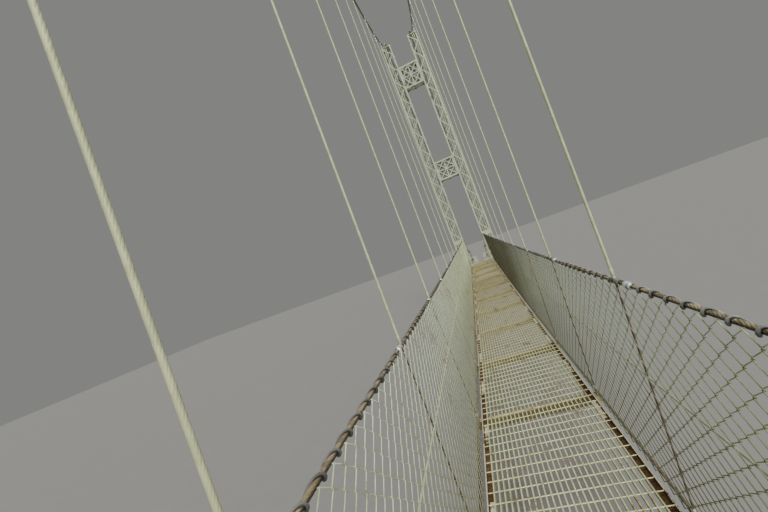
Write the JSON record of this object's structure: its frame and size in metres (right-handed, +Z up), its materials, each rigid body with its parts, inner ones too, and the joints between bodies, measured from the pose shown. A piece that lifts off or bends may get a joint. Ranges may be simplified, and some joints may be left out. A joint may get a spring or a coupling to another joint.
{
  "type": "rope suspension footbridge",
  "caption": "Steel wire-rope suspension footbridge with lattice towers, long hangers, mesh sides and a grating deck, complete with footings and anchor blocks.",
  "frame": {"origin": "on the ground below the middle of the span, between the two handrails", "axes": "+Y along the bridge towards the north tower, +X across it to the right, +Z up"},
  "size_m": [2.2, 38.4552, 11.18],
  "materials": {
    "tower_steel": "weathered pale grey-green paint over galvanising",
    "deck_steel": "rusty brown edge steel with cream patches",
    "grating_steel": "dull yellowish galvanised bars with rust spots",
    "wire_rope": "dull tan-grey stranded wire rope",
    "chain_link": "grey galvanised wire with a green film",
    "saddle_iron": "rough dark casting",
    "concrete": "cast concrete with damp stains"
  },
  "bodies": {
    "root": {"south_left_leg": "tower_steel", "south_right_leg": "tower_steel", "north_left_leg": "tower_steel", "north_right_leg": "tower_steel", "south_top_beam": "tower_steel", "north_top_beam": "tower_steel", "south_middle_beam": "tower_steel", "north_middle_beam": "tower_steel", "south_bearer": "tower_steel", "north_bearer": "tower_steel", "south_threshold": "deck_steel", "north_threshold": "deck_steel", "south_left_saddle": "saddle_iron", "south_right_saddle": "saddle_iron", "north_left_saddle": "saddle_iron", "north_right_saddle": "saddle_iron", "south_left_anchor_block": "concrete", "south_right_anchor_block": "concrete", "north_left_anchor_block": "concrete", "north_right_anchor_block": "concrete", "south_footing": "concrete", "north_footing": "concrete", "south_deck_frame": "deck_steel", "middle_deck_frame": "deck_steel", "north_deck_frame": "deck_steel", "south_grating": "grating_steel", "middle_grating": "grating_steel", "north_grating": "grating_steel", "left_main_cable": "wire_rope", "right_main_cable": "wire_rope", "left_side_ropes": "wire_rope", "right_side_ropes": "wire_rope", "south_left_mesh": "chain_link", "middle_left_mesh": "chain_link", "north_left_mesh": "chain_link", "south_right_mesh": "chain_link", "middle_right_mesh": "chain_link", "north_right_mesh": "chain_link"}
  },
  "joints": []
}
